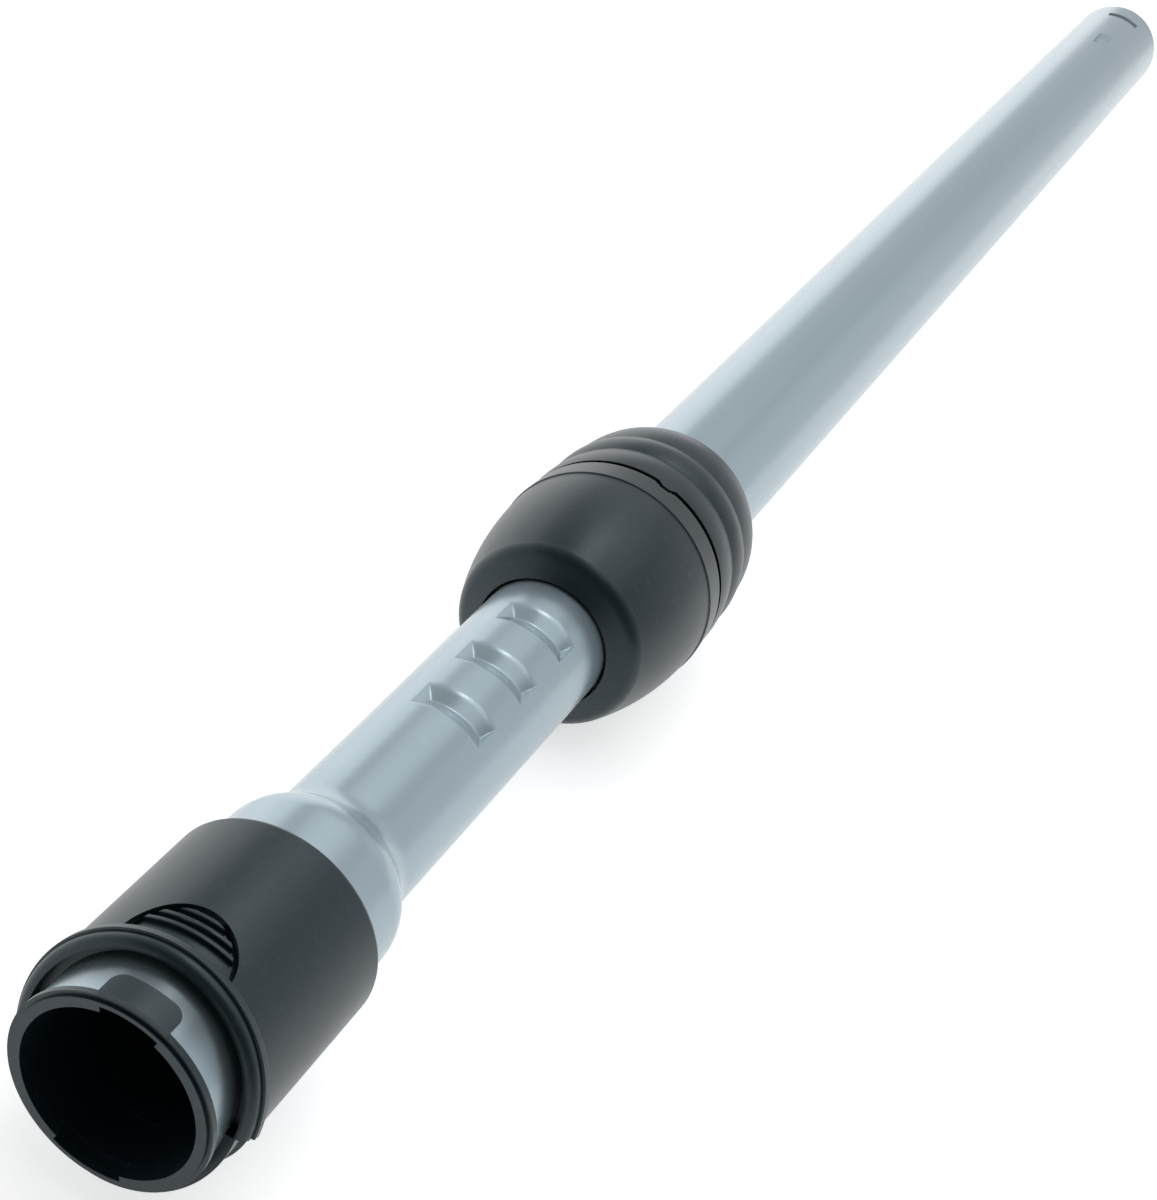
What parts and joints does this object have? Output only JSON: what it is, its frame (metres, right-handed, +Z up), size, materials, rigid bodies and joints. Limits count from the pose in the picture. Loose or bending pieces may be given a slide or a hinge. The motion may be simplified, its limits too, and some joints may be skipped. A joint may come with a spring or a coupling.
{
  "type": "telescopic vacuum wand",
  "caption": "Telescopic vacuum cleaner wand: lacquered steel tubes that slide in each other, an egg-shaped release collar and a keyed hose socket with a finger button.",
  "frame": {"origin": "on the wand's axis at the mouth of the hose socket", "axes": "+X along the wand towards the nozzle end, +Z up through the socket's key, +Y completes the frame"},
  "size_m": [0.743, 0.0556, 0.0557],
  "materials": {
    "tube_lacquer": "bluish light grey lacquer, satin to gloss",
    "black_plastic": "charcoal black moulded plastic, satin",
    "bearing_plastic": "natural white bearing plastic",
    "seal_rubber": "soft black rubber",
    "spring_steel": "bright steel"
  },
  "bodies": {
    "upper_tube": {"inner_tube": "tube_lacquer", "socket_liner": "black_plastic", "connector_sleeve": "black_plastic", "button_spring": "spring_steel", "tail_glide_ring": "bearing_plastic", "tail_seal": "seal_rubber"},
    "lower_tube": {"outer_tube": "tube_lacquer", "guide_bush": "bearing_plastic", "bush_seal": "seal_rubber", "bush_rivets": "spring_steel", "collar_spring": "spring_steel"},
    "collar": {"collar_front_shell": "black_plastic", "collar_rear_shell": "black_plastic", "cam_insert": "bearing_plastic"},
    "lock_roller": {"lock_roller": "spring_steel"},
    "release_button": {"release_button": "black_plastic"}
  },
  "joints": [
    {"name": "telescope", "type": "slide", "parent": "upper_tube", "child": "lower_tube", "axis": [1, 0, 0], "range_m": [-0.0778, 0.25285]},
    {"name": "collar_release", "type": "slide", "parent": "lower_tube", "child": "collar", "axis": [-1, 0, 0], "range_m": [0, 0.007], "stiffness_N_per_m": 800, "springref_m": -0.005, "deforming": ["collar_spring"]},
    {"name": "roller_lift", "type": "slide", "parent": "lower_tube", "child": "lock_roller", "axis": [0, -0.1305, 0.9914], "range_m": [0, 0.0008]},
    {"name": "button_press", "type": "slide", "parent": "upper_tube", "child": "release_button", "axis": [0, -0.1045, -0.9945], "range_m": [0, 0.001], "stiffness_N_per_m": 4000, "springref_m": -0.0005, "deforming": ["button_spring"]}
  ],
  "couplings": [
    {"joint": "roller_lift", "follows": "collar_release", "ratio": 0.114}
  ]
}
